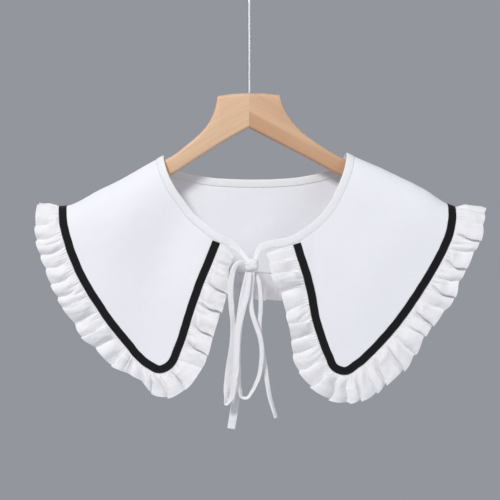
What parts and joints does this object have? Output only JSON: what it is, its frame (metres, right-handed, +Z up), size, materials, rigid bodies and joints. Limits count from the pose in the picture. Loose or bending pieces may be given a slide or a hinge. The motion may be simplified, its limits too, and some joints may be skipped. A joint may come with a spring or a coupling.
{
  "type": "detachable peter pan collar on a wooden clothes hanger",
  "caption": "White cotton cape collar with a gathered ruffle, black ribbon trim and a limp neck-tie bow, hung on a flat beech hanger with a wire hook.",
  "frame": {"origin": "the underside of the top of the hanger's hook, where it bears on a rail", "axes": "+Z up along the hook's stem, the collar's front faces -Y, +X to the right of someone facing it"},
  "size_m": [0.4534, 0.0714, 0.481],
  "materials": {
    "white_cotton": "woven poplin",
    "black_ribbon": "matt grosgrain",
    "beech": "clear satin varnish",
    "hook_wire": "zinc plated"
  },
  "bodies": {
    "root": {"collar_panel": "white_cotton", "ruffle_left": "white_cotton", "ruffle_right": "white_cotton", "ruffle_back": "white_cotton", "neck_binding": "white_cotton", "bow_knot": "white_cotton", "bow_loop_left": "white_cotton", "bow_loop_right": "white_cotton", "bow_tail_left": "white_cotton", "bow_tail_right": "white_cotton", "ribbon_trim": "black_ribbon", "hanger": "beech", "hook": "hook_wire"}
  },
  "joints": []
}
